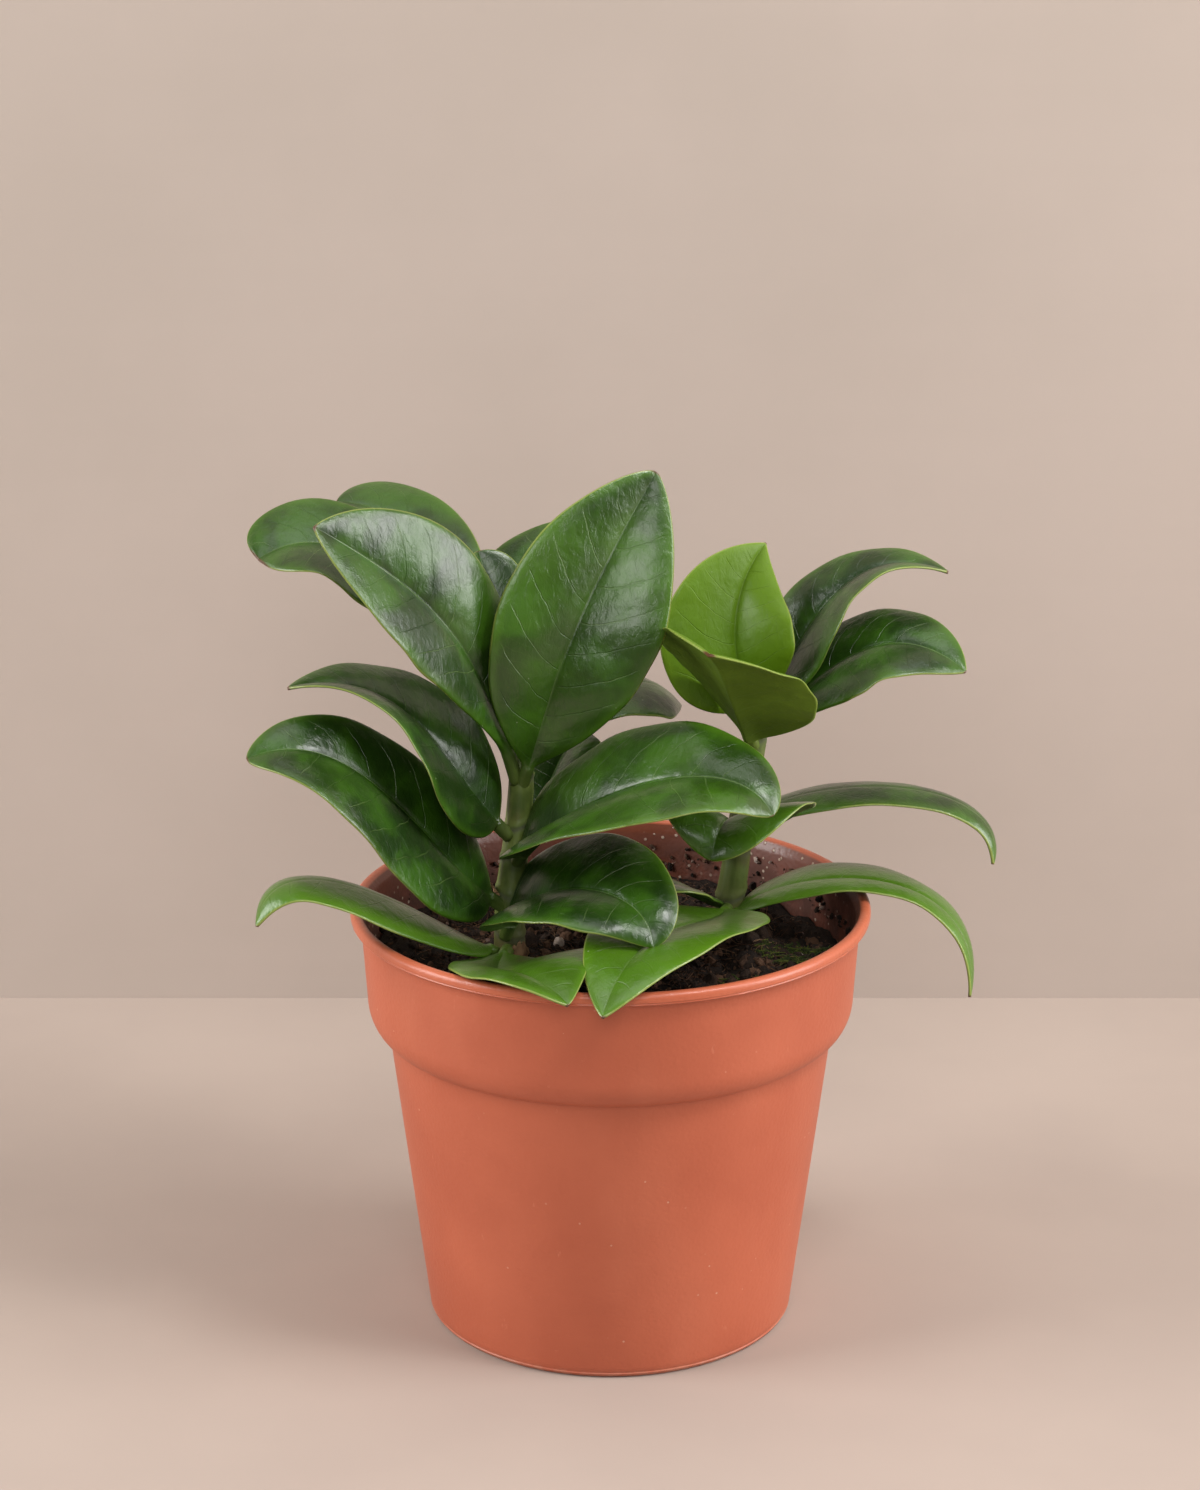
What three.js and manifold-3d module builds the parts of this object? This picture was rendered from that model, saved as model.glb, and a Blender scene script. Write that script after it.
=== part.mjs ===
// A leafy house plant with two upright stems, growing in a moulded plastic nursery pot.
// Millimetres, +Z up. Origin: centre of the pot's underside. X runs to the right, Y to the back.
import * as THREE from "three";
import { mergeVertices } from "three/addons/utils/BufferGeometryUtils.js";
import Module from "manifold-3d";

const wasm = await Module();
wasm.setup();

// ---- driving dimensions ----
const POT_HEIGHT = 108.7;
const LIP_RADIUS = 65;
const LIP_DEPTH = 3;
const BAND_TOP_RADIUS = 62.4;
const BAND_FOOT_RADIUS = 61;
const BAND_FOOT_HEIGHT = 85;
const BODY_TOP_RADIUS = 55.9;
const BODY_TOP_HEIGHT = 77;
const BODY_FOOT_RADIUS = 46.5;
const FOOT_EDGE = 1.6;
const WALL = 1.3;
const FLOOR = 1.8;
const DRAIN_COUNT = 8;
const DRAIN_RADIUS = 4;
const DRAIN_CIRCLE = 31;
const POT_SEGMENTS = 48;

const SOIL_EDGE_HEIGHT = 94;
const SOIL_CROWN_HEIGHT = 97.5;
const SOIL_SEGMENTS = 32;
const FIT_GAP = 0.3;
const LEAF_GAP = 0.6;

const LEAF_THICKNESS = 1.2;
const STALK_RADIUS = 1.7;
const TIP_RADIUS = 0.4;
const STALK_SHARE = 0.08;
const BLADE_STEPS = 9;
const STEM_SIDES = 12;

// ---- the two stems: points up the middle and the radius at each ----
const STEMS = {
  left: {
    name: "stem_left",
    points: [[-25, -8, 84], [-25, -8, 100], [-25, -8, 113], [-23, -5, 128], [-22, -4, 141], [-22, -1, 152]],
    radii: [3.4, 3.9, 3.5, 3.3, 3.1, 2.2],
  },
  right: {
    name: "stem_right",
    points: [[30, 17, 84], [30, 17, 98], [32, 17, 112], [33, 17, 122], [35, 17, 136], [38, 17, 151]],
    radii: [3.4, 3.9, 3.5, 3.3, 3, 2.2],
  },
};

// ---- the leaves ----
// path: foot, two points along the midrib a third and two thirds of the way, and tip.
// face: the way the glossy side looks at the foot, and faceTip the same at the tip.
// width: across the widest place. rise and fall: how slowly the outline opens and closes.
// left and right: share of the half width on each side. fold: how far each half lifts, in degrees,
// and cup: the same at the foot, where it differs.
const LEAF_DEFAULTS = { rise: 1.1, fall: 0.62, left: 1, right: 1, fold: 8, radius: STALK_RADIUS };

const LEFT_LEAVES = [
  { path: [[-22, -5, 140], [-15, -10, 164], [-6, -6, 187], [11, 6, 217]], face: [2, -10, 2.5], width: 42,
    rise: 0.9, fall: 0.7, fold: 12 },
  { path: [[-23, -5, 141], [-33, -14, 173], [-47, -22, 194], [-69, -34, 213]], face: [4.5, -7, 5.5],
    width: 34, rise: 1, fall: 0.75, right: 1.1, fold: 12 },
  { path: [[-23, -1, 148], [-42, 4, 177], [-63, 4, 197], [-85, -3, 197]], face: [-2, -2.5, 10],
    faceTip: [-3, -5, 9], width: 34, fall: 0.35, right: 0.9 },
  { path: [[-22, 0, 150], [-35, 20, 178], [-50, 38, 194], [-70, 48, 199]], face: [0, -2.5, 10], width: 31,
    rise: 1.3, fall: 0.5, right: 0.9 },
  { path: [[-22, 0, 151], [-25, 8, 166], [-29, 14, 181], [-33, 18, 194]], face: [5, -6, 6], width: 20,
    fall: 0.5, fold: 25 },
  { path: [[-21, 1, 149], [-18, 17, 163], [-13, 31, 179], [-5, 45, 195]], face: [-3, -5, 10], width: 46 },
  { path: [[-25, -7, 128], [-38, -12, 147], [-53, -16, 165], [-77, -24, 171]], face: [6, -7, 8],
    faceTip: [0, 0.5, 10], width: 37, rise: 0.55, fall: 0.75, left: 1.1, right: 0.85, fold: 12 },
  { path: [[-26, -9, 110], [-43, -21, 131], [-62, -30, 153], [-86, -36, 157]], face: [3, -6.5, 8],
    faceTip: [-1, -4.5, 10], width: 38, rise: 0.5, fall: 0.6, left: 1.1, right: 0.8 },
  { path: [[-27, -11, 98], [-46, -23, 113], [-70, -34, 126], [-84, -44, 118]], face: [-1, -1.5, 10],
    faceTip: [-7, -3, 7], width: 26, rise: 0.65, fall: 0.8, fold: -16 },
  { path: [[-24, -7, 120], [-7, -22, 140], [19, -34, 152], [38, -42, 145]], face: [-1, -4, 10],
    faceTip: [2, -4.5, 10], width: 40, rise: 0.48, fall: 0.65, left: 0.92, right: 1.15, cup: 28 },
  { path: [[-26, -11, 103], [-15, -24, 119], [1, -40, 124], [10, -50, 115]], face: [-1, -4, 10],
    faceTip: [2, -6, 8], width: 35, rise: 0.42, fall: 0.65, right: 1.15, fold: 5, cup: 30 },
  { path: [[-25, -10, 100], [-27, -34, 103], [-21, -55, 110], [-10, -72, 109]], face: [0, 0, 10], width: 36,
    rise: 0.7, fall: 0.8, left: 1.15, right: 0.75 },
  { path: [[-22, -4, 131], [-4, 6, 137], [15, 13, 141], [33, 16, 135]], face: [0, -2, 10], width: 34,
    fold: 5 },
  { path: [[-22, -2, 144], [-10, 14, 154], [5, 28, 157], [18, 34, 149]], face: [0, -2, 10],
    faceTip: [4, 1, 8], width: 30, fall: 0.4, fold: -12 },
  { path: [[-22, -4, 128], [-16, 4, 136], [-12, 14, 142], [-6, 22, 146]], face: [-3, -3, 10], width: 22 },
];

const RIGHT_LEAVES = [
  { path: [[36, 16, 144], [31, -4, 160], [27, -16, 172], [23, -30, 181]], face: [5, 5, 10], width: 43,
    rise: 0.45, fall: 0.6, right: 1.05, fold: 12, cup: 24 },
  { path: [[38, 19, 151], [32, 18, 165], [32, 22, 180], [39, 30, 193]], face: [-1, -10, 1], width: 33,
    rise: 0.7, fall: 1, left: 1.2, fold: 24 },
  { path: [[38, 18, 149], [48, 22, 170], [62, 24, 186], [84, 20, 188]], face: [-4, -5, 8],
    faceTip: [0, 0, 10], width: 32, rise: 0.65, fall: 0.8, left: 0.75, right: 0.95, fold: 12 },
  { path: [[38, 17, 147], [55, 14, 165], [71, 8, 173], [87, 0, 168]], face: [-1, -4.5, 10], width: 36,
    rise: 0.75, fall: 0.8, left: 0.75, right: 1, fold: 4 },
  { path: [[33, 17, 117], [48, 18, 130], [81, 14, 132], [96, 6, 116]], face: [0, 0, 10], faceTip: [7, -1, 7],
    width: 24, rise: 0.7, fall: 0.85, left: 1.1, right: 0.75, fold: -15 },
  { path: [[32, 13, 98], [48, 11, 109], [77, 4, 109], [90, -6, 85]], face: [0, 0, 10], faceTip: [9, -2, 4],
    width: 25, rise: 0.55, fall: 0.85, left: 1.1, right: 0.75, fold: -3 },
  { path: [[33, 17, 119], [31, -1, 128], [28, -19, 136], [24, -28, 129]], face: [-0.5, 0, 10],
    faceTip: [-0.5, -5, 8], width: 43, rise: 0.6, fall: 0.7, right: 1.05, fold: 16 },
  { path: [[30, 16, 101], [22, -15, 108], [9, -45, 114], [-2, -72, 106]], face: [0, 0, 10], width: 35,
    rise: 0.6, fall: 0.8, left: 1.1, fold: 5, cup: 12 },
  { path: [[30, 17, 101], [23, 10, 106], [15, 4, 111], [7, 0, 112]], face: [0, 0, 10], width: 19, fold: 5,
    radius: 1.3 },
];

// ---- small helpers ----
const vec = (p) => new THREE.Vector3(p[0], p[1], p[2]);

// Skin over a row of equal rings, closed with a fan at each end.
function skin(rings) {
  const sides = rings[0].length;
  const positions = [];
  const index = [];
  for (const ring of rings) {
    for (const p of ring) {
      positions.push(p.x, p.y, p.z);
    }
  }
  for (let i = 0; i < rings.length - 1; i += 1) {
    for (let k = 0; k < sides; k += 1) {
      const a = i * sides + k;
      const b = i * sides + ((k + 1) % sides);
      index.push(a, b, b + sides, a, b + sides, a + sides);
    }
  }
  const last = (rings.length - 1) * sides;
  for (let k = 1; k < sides - 1; k += 1) {
    index.push(0, k + 1, k);
    index.push(last, last + k, last + k + 1);
  }
  const geometry = new THREE.BufferGeometry();
  geometry.setAttribute("position", new THREE.Float32BufferAttribute(positions, 3));
  geometry.setIndex(index);
  return geometry;
}

function solid(geometry) {
  const bare = geometry.clone();
  bare.deleteAttribute("normal");
  bare.deleteAttribute("uv");
  const welded = mergeVertices(bare, 1e-4);
  const body = new wasm.Manifold(new wasm.Mesh({
    numProp: 3,
    vertProperties: new Float32Array(welded.attributes.position.array),
    triVerts: new Uint32Array(welded.index.array),
  }));
  return body;
}

function lathe(profile, segments) {
  const points = profile.map(([r, z]) => new THREE.Vector2(r, z));
  const geometry = new THREE.LatheGeometry(points, segments);
  geometry.rotateX(Math.PI / 2);
  return solid(geometry);
}

// The largest connected piece, so a trimmed leaf never carries a loose crumb.
function mainPiece(body) {
  const pieces = body.decompose();
  pieces.sort((a, b) => b.volume() - a.volume());
  return pieces[0];
}

// ---- pot ----
const wallRadius = (z) =>
  BODY_FOOT_RADIUS + ((BODY_TOP_RADIUS - BODY_FOOT_RADIUS) * (z - FOOT_EDGE)) / (BODY_TOP_HEIGHT - FOOT_EDGE);
const BAND_FALL = BAND_FOOT_HEIGHT - BODY_TOP_HEIGHT;
const BAND_REACH = BAND_FOOT_RADIUS - BODY_TOP_RADIUS;
const LIP_FOOT = POT_HEIGHT - LIP_DEPTH;

// The rounded shoulder where the body steps out to the band, given for either face of the wall.
function shoulder(inset, lift) {
  const turns = [0.12, 0.35, 0.6, 0.82, 1];
  return turns.map((t) => {
    const angle = (t * Math.PI) / 2;
    const r = BODY_TOP_RADIUS + BAND_REACH * Math.sin(angle) - inset;
    const z = BODY_TOP_HEIGHT + BAND_FALL * (1 - Math.cos(angle)) + lift;
    return [r, z];
  });
}

function potProfile() {
  const outside = [
    [0, 0],
    [BODY_FOOT_RADIUS - 1.6, 0],
    [BODY_FOOT_RADIUS - 0.5, 0.4],
    [BODY_FOOT_RADIUS, FOOT_EDGE],
    [BODY_TOP_RADIUS, BODY_TOP_HEIGHT],
    ...shoulder(0, 0),
    [BAND_TOP_RADIUS, LIP_FOOT],
    [LIP_RADIUS - 0.5, LIP_FOOT + 0.1],
    [LIP_RADIUS, LIP_FOOT + 0.7],
    [LIP_RADIUS, POT_HEIGHT - 0.9],
    [LIP_RADIUS - 0.6, POT_HEIGHT - 0.2],
    [LIP_RADIUS - 1.4, POT_HEIGHT],
    [LIP_RADIUS - 2.3, POT_HEIGHT - 0.1],
    [LIP_RADIUS - 2.9, POT_HEIGHT - 0.7],
  ];
  const inside = [
    [BAND_TOP_RADIUS - WALL, LIP_FOOT - 0.6],
    ...shoulder(WALL, 0.8).reverse(),
    [BODY_TOP_RADIUS - WALL, BODY_TOP_HEIGHT + 0.4],
    [wallRadius(FLOOR + 1.6) - WALL, FLOOR + 1.6],
    [wallRadius(FLOOR) - WALL - 1.2, FLOOR],
    [0, FLOOR],
  ];
  return [...outside, ...inside];
}

function makePot() {
  let body = lathe(potProfile(), POT_SEGMENTS);
  for (let i = 0; i < DRAIN_COUNT; i += 1) {
    const angle = ((i + 0.5) / DRAIN_COUNT) * Math.PI * 2;
    const drill = new THREE.CylinderGeometry(DRAIN_RADIUS, DRAIN_RADIUS, FLOOR * 4, 16);
    drill.rotateX(Math.PI / 2);
    drill.translate(DRAIN_CIRCLE * Math.cos(angle), DRAIN_CIRCLE * Math.sin(angle), 0);
    body = body.subtract(solid(drill));
  }
  return body;
}

// ---- soil ----
function soilProfile(grow) {
  const inset = WALL + FIT_GAP - grow;
  const rise = SOIL_CROWN_HEIGHT - SOIL_EDGE_HEIGHT;
  const bandRadius = (z) =>
    BAND_FOOT_RADIUS + ((BAND_TOP_RADIUS - BAND_FOOT_RADIUS) * (z - BAND_FOOT_HEIGHT)) / (LIP_FOOT - BAND_FOOT_HEIGHT);
  return [
    [0, FLOOR + FIT_GAP - grow],
    [wallRadius(FLOOR) - inset - 1.6, FLOOR + FIT_GAP - grow],
    [wallRadius(FLOOR + 2) - inset, FLOOR + 2],
    [BODY_TOP_RADIUS - inset, BODY_TOP_HEIGHT + 1.4],
    ...shoulder(inset, 1.4),
    [bandRadius(SOIL_EDGE_HEIGHT) - inset - 0.4, SOIL_EDGE_HEIGHT + grow],
    [48, SOIL_EDGE_HEIGHT + rise * 0.45 + grow],
    [30, SOIL_EDGE_HEIGHT + rise * 0.85 + grow],
    [12, SOIL_CROWN_HEIGHT + grow],
    [0, SOIL_CROWN_HEIGHT + grow],
  ];
}

// ---- stems ----
function makeStem(stem, grow) {
  const rings = stem.points.map((point, i) => {
    const ring = [];
    for (let k = 0; k < STEM_SIDES; k += 1) {
      const angle = (k / STEM_SIDES) * Math.PI * 2;
      const radius = stem.radii[i] + grow;
      const lift = i === 0 ? -grow : i === stem.points.length - 1 ? grow : 0;
      ring.push(new THREE.Vector3(
        point[0] + radius * Math.cos(angle), point[1] + radius * Math.sin(angle), point[2] + lift));
    }
    return ring;
  });
  return solid(skin(rings));
}

// ---- leaves ----
// Smooth midrib through the four points of the path.
function midrib(path, s) {
  const [p0, q1, q2, p3] = path.map(vec);
  const c1 = p0.clone().multiplyScalar(-5).addScaledVector(q1, 18).addScaledVector(q2, -9)
    .addScaledVector(p3, 2).divideScalar(6);
  const c2 = p0.clone().multiplyScalar(2).addScaledVector(q1, -9).addScaledVector(q2, 18)
    .addScaledVector(p3, -5).divideScalar(6);
  const curve = new THREE.CubicBezierCurve3(p0, c1, c2, p3);
  return { at: curve.getPoint(s), along: curve.getTangent(s) };
}

// One section across the leaf: the stalk is round, the blade is a thin shallow V with a rib below.
function leafSection(leaf, s, u, grow) {
  const { at, along } = midrib(leaf.path, s);
  const face = vec(leaf.face).lerp(vec(leaf.faceTip ?? leaf.face), s);
  const up = face.addScaledVector(along, -face.dot(along)).normalize();
  const side = new THREE.Vector3().crossVectors(along, up);
  const blade = Math.max(u, 0);
  const peak = leaf.rise / (leaf.rise + leaf.fall);
  const tallest = peak ** leaf.rise * (1 - peak) ** leaf.fall;
  const half = ((blade ** leaf.rise * (1 - blade) ** leaf.fall) / tallest) * (leaf.width / 2);
  const radius = leaf.radius * (1 - blade) + TIP_RADIUS * blade;
  const stalk = radius / (radius + half);
  const lift = leaf.fold + ((leaf.cup ?? leaf.fold) - leaf.fold) * (1 - blade) ** 2;
  const fold = (lift * Math.PI) / 180;
  const thin = LEAF_THICKNESS / 2;
  const across = [-1, -0.5, 0, 0.5, 1];
  const spots = across.map((t) => {
    const share = t < 0 ? leaf.left : leaf.right;
    const round = Math.sqrt(1 - t * t * 0.999);
    const x = t * half * share * Math.cos(fold) + Math.sign(t) * Math.sqrt(Math.abs(t)) * radius * stalk;
    const z = Math.abs(t) * half * share * Math.sin(fold);
    const top = Math.abs(t) === 1 ? 0 : thin + (radius * round - thin) * stalk;
    const rib = t === 0 ? (radius - thin) * 0.9 * (1 - stalk) : 0;
    const outward = Math.abs(t) === 1 ? Math.sign(t) * grow : 0;
    return { x: x + outward, z, top: top + (top > 0 ? grow : 0), low: top + Math.max(rib, 0) + (top > 0 ? grow : 0) };
  });
  const place = (x, z) => at.clone().addScaledVector(side, x).addScaledVector(up, z);
  const ring = spots.map((p) => place(p.x, p.z + p.top));
  for (const p of [spots[3], spots[2], spots[1]]) {
    ring.push(place(p.x, p.z - p.low));
  }
  return ring;
}

function makeLeaf(given, grow) {
  const leaf = { ...LEAF_DEFAULTS, ...given };
  const rings = [leafSection(leaf, 0, -1, grow), leafSection(leaf, STALK_SHARE * 0.7, -1, grow)];
  for (let i = 0; i <= BLADE_STEPS; i += 1) {
    const u = 0.5 - 0.5 * Math.cos((Math.PI * (i + 0.35)) / (BLADE_STEPS + 0.35));
    rings.push(leafSection(leaf, STALK_SHARE + (1 - STALK_SHARE) * u, u, grow));
  }
  return solid(skin(rings));
}

// ---- assembly ----
const group = new THREE.Group();
group.name = "potted_plant";

function addNode(name, body, color, roughness) {
  const mesh = body.getMesh();
  const geometry = new THREE.BufferGeometry();
  geometry.setAttribute("position", new THREE.Float32BufferAttribute(mesh.vertProperties, 3));
  geometry.setIndex([...mesh.triVerts]);
  geometry.computeVertexNormals();
  const material = new THREE.MeshStandardMaterial({ color, roughness, metalness: 0 });
  const node = new THREE.Mesh(geometry, material);
  node.name = name;
  group.add(node);
}

const pot = makePot();
const stemRooms = Object.values(STEMS).map((stem) => makeStem(stem, FIT_GAP));
let soil = lathe(soilProfile(0), SOIL_SEGMENTS);
for (const room of stemRooms) {
  soil = soil.subtract(room);
}
addNode("pot", pot, 0xb6603f, 0.55);
addNode("soil", mainPiece(soil), 0x2a1c15, 0.95);
for (const stem of Object.values(STEMS)) {
  addNode(stem.name, makeStem(stem, 0), 0x5d6b35, 0.5);
}

const blockers = [lathe(soilProfile(FIT_GAP), SOIL_SEGMENTS), ...stemRooms];
function addLeaves(prefix, leaves, color) {
  leaves.forEach((leaf, i) => {
    let body = makeLeaf(leaf, 0);
    for (const blocker of blockers) {
      body = body.subtract(blocker);
    }
    addNode(`${prefix}_${String(i + 1).padStart(2, "0")}`, mainPiece(body), color, 0.3);
    blockers.push(makeLeaf(leaf, LEAF_GAP));
  });
}
addLeaves("leaf_left", LEFT_LEAVES, 0x2f5a2a);
addLeaves("leaf_right", RIGHT_LEAVES, 0x4a7a2c);

export default group;
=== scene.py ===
"""A leafy house plant in a moulded plastic nursery pot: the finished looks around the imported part."""

import math
import random

import bpy
import numpy as np
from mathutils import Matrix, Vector, noise


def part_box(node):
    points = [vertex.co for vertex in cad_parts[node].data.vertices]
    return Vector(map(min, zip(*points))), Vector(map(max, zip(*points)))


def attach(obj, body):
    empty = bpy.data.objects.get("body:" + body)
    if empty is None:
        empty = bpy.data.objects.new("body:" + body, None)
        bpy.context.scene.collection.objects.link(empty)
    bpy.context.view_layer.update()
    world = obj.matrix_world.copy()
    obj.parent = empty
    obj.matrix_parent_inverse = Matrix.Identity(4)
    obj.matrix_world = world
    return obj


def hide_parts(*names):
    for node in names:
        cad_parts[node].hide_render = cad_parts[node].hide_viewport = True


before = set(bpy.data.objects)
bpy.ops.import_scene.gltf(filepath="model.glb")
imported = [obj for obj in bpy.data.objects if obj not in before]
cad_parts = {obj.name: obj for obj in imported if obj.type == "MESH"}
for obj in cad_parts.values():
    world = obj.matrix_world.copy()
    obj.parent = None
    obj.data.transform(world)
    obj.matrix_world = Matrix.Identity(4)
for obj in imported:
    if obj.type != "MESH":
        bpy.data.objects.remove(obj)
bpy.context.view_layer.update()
MM = 0.001
TURN = 2 * math.pi
STAGE_REACH = 1500
WALL_BEHIND = 207

# ---- sizes of the real thing, in millimetres ----
POT_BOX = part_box("pot")
POT_HEIGHT = (POT_BOX[1][2] - POT_BOX[0][2]) / MM
LIP_RADIUS = (POT_BOX[1][0] - POT_BOX[0][0]) / 2 / MM
LIP_FOOT = POT_HEIGHT - 3
BAND_TOP_RADIUS = 62.4
BAND_FOOT_RADIUS = 61.0
BAND_FOOT_HEIGHT = 85.0
BODY_TOP_RADIUS = 55.9
BODY_TOP_HEIGHT = 77.0
BODY_FOOT_RADIUS = 46.5
WALL = 1.3
FLOOR = 1.8
INNER_WALL_OFFSET = 0.65
DRAIN_HOLES = 8
DRAIN_RADIUS = 4.0
DRAIN_CIRCLE = 31.0
SOIL_EDGE = 94.0
SOIL_CROWN = 97.0

# ---- the leaves, as the plant carries them ----
# path: foot, two points a third and two thirds of the way up the midrib, and tip.
# face: the way the glossy side looks at the foot, and tip_face the same at the tip.
# width: widest place. rise, fall: how slowly the outline opens and closes. left, right: share of
# the half width on each side. fold: how far the halves lift, and cup the same at the foot. tone: 0 deep
# green, 1 bright. wave and quilt: how much the blade ripples and puffs up between its veins.
LEFT_LEAVES = [
    dict(path=[(-22, -5, 140), (-15, -10, 164), (-6, -6, 187), (11, 6, 217)], face=(2, -10, 2.5), width=42,
         rise=0.9, fall=0.7, fold=12, tone=0.5, wave=0.5, quilt=1.5),
    dict(path=[(-23, -5, 141), (-33, -14, 173), (-47, -22, 194), (-69, -34, 213)], face=(4.5, -7, 5.5),
         width=34, rise=1, fall=0.75, right=1.1, fold=12, tone=0.35, quilt=1.1),
    dict(path=[(-23, -1, 148), (-42, 4, 177), (-63, 4, 197), (-85, -3, 197)], face=(-2, -2.5, 10),
         tip_face=(-3, -5, 9), width=34, fall=0.35, right=0.9, tone=0.25),
    dict(path=[(-22, 0, 150), (-35, 20, 178), (-50, 38, 194), (-70, 48, 199)], face=(0, -2.5, 10), width=31,
         rise=1.3, fall=0.5, right=0.9, tone=0.3),
    dict(path=[(-22, 0, 151), (-25, 8, 166), (-29, 14, 181), (-33, 18, 194)], face=(5, -6, 6), width=20,
         fall=0.5, fold=25, tone=0.2),
    dict(path=[(-21, 1, 149), (-18, 17, 163), (-13, 31, 179), (-5, 45, 195)], face=(-3, -5, 10), width=46,
         tone=0.3),
    dict(path=[(-25, -7, 128), (-38, -12, 147), (-53, -16, 165), (-77, -24, 171)], face=(6, -7, 8),
         tip_face=(0, 0.5, 10), width=37, rise=0.55, fall=0.75, left=1.1, right=0.85, fold=12, tone=0.1),
    dict(path=[(-26, -9, 110), (-43, -21, 131), (-62, -30, 153), (-86, -36, 157)], face=(3, -6.5, 8),
         tip_face=(-1, -4.5, 10), width=38, rise=0.5, fall=0.6, left=1.1, right=0.8, tone=0.15),
    dict(path=[(-27, -11, 98), (-46, -23, 113), (-70, -34, 126), (-84, -44, 118)], face=(-1, -1.5, 10),
         tip_face=(-7, -3, 7), width=26, rise=0.65, fall=0.8, fold=-16, tone=0.8, wave=0.4),
    dict(path=[(-24, -7, 120), (-7, -22, 140), (19, -34, 152), (38, -42, 145)], face=(-1, -4, 10),
         tip_face=(2, -4.5, 10), width=40, rise=0.48, fall=0.65, left=0.92, right=1.15, cup=28, tone=0.4,
         quilt=1.2),
    dict(path=[(-26, -11, 103), (-15, -24, 119), (1, -40, 124), (10, -50, 115)], face=(-1, -4, 10),
         tip_face=(2, -6, 8), width=35, rise=0.42, fall=0.65, right=1.15, fold=5, cup=30, tone=0.25),
    dict(path=[(-25, -10, 100), (-27, -34, 103), (-21, -55, 110), (-10, -72, 109)], face=(0, 0, 10), width=36,
         rise=0.7, fall=0.8, left=1.15, right=0.75, tone=0.85),
    dict(path=[(-22, -4, 131), (-4, 6, 137), (15, 13, 141), (33, 16, 135)], face=(0, -2, 10), width=34,
         fold=5, tone=0),
    dict(path=[(-22, -2, 144), (-10, 14, 154), (5, 28, 157), (18, 34, 149)], face=(0, -2, 10),
         tip_face=(4, 1, 8), width=30, fall=0.4, fold=-12, tone=0),
    dict(path=[(-22, -4, 128), (-16, 4, 136), (-12, 14, 142), (-6, 22, 146)], face=(-3, -3, 10), width=22,
         tone=0.1),
]
RIGHT_LEAVES = [
    dict(path=[(36, 16, 144), (31, -4, 160), (27, -16, 172), (23, -30, 181)], face=(5, 5, 10), width=43,
         rise=0.45, fall=0.6, right=1.05, fold=12, cup=24, tone=1, young=1),
    dict(path=[(38, 19, 151), (32, 18, 165), (32, 22, 180), (39, 30, 193)], face=(-1, -10, 1), width=33,
         rise=0.7, fall=1, left=1.2, fold=24, tone=1, young=1),
    dict(path=[(38, 18, 149), (48, 22, 170), (62, 24, 186), (84, 20, 188)], face=(-4, -5, 8),
         tip_face=(0, 0, 10), width=32, rise=0.65, fall=0.8, left=0.75, right=0.95, fold=12, tone=0.3),
    dict(path=[(38, 17, 147), (55, 14, 165), (71, 8, 173), (87, 0, 168)], face=(-1, -4.5, 10), width=36,
         rise=0.75, fall=0.8, left=0.75, right=1, fold=4, tone=0.2),
    dict(path=[(33, 17, 117), (48, 18, 130), (81, 14, 132), (96, 6, 116)], face=(0, 0, 10),
         tip_face=(7, -1, 7), width=24, rise=0.7, fall=0.85, left=1.1, right=0.75, fold=-15, tone=0.4),
    dict(path=[(32, 13, 98), (48, 11, 109), (77, 4, 109), (90, -6, 85)], face=(0, 0, 10), tip_face=(9, -2, 4),
         width=25, rise=0.55, fall=0.85, left=1.1, right=0.75, fold=-3, tone=0.8),
    dict(path=[(33, 17, 119), (31, -1, 128), (28, -19, 136), (24, -28, 129)], face=(-0.5, 0, 10),
         tip_face=(-0.5, -5, 8), width=43, rise=0.6, fall=0.7, right=1.05, fold=16, tone=0.5),
    dict(path=[(30, 16, 101), (22, -15, 108), (9, -45, 114), (-2, -72, 106)], face=(0, 0, 10), width=35,
         rise=0.6, fall=0.8, left=1.1, fold=5, cup=12, tone=0.95),
    dict(path=[(30, 17, 101), (23, 10, 106), (15, 4, 111), (7, 0, 112)], face=(0, 0, 10), width=19, fold=5,
         stalk=1.3, tone=0.4),
]

# ---- the stems: points up the middle, and the radius at each ----
STEMS = {
    "stem_left": dict(
        points=[(-25, -8, 84), (-25, -8, 100), (-25, -8, 113), (-23, -5, 128), (-22, -4, 141), (-22, -1, 152)],
        radii=[3.4, 3.9, 3.5, 3.3, 3.1, 2.2], nodes=[104, 114, 123, 131, 143]),
    "stem_right": dict(
        points=[(30, 17, 84), (30, 17, 98), (32, 17, 112), (33, 17, 122), (35, 17, 136), (38, 17, 151)],
        radii=[3.4, 3.9, 3.5, 3.3, 3.0, 2.2], nodes=[105, 118, 134, 146]),
}


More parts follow.
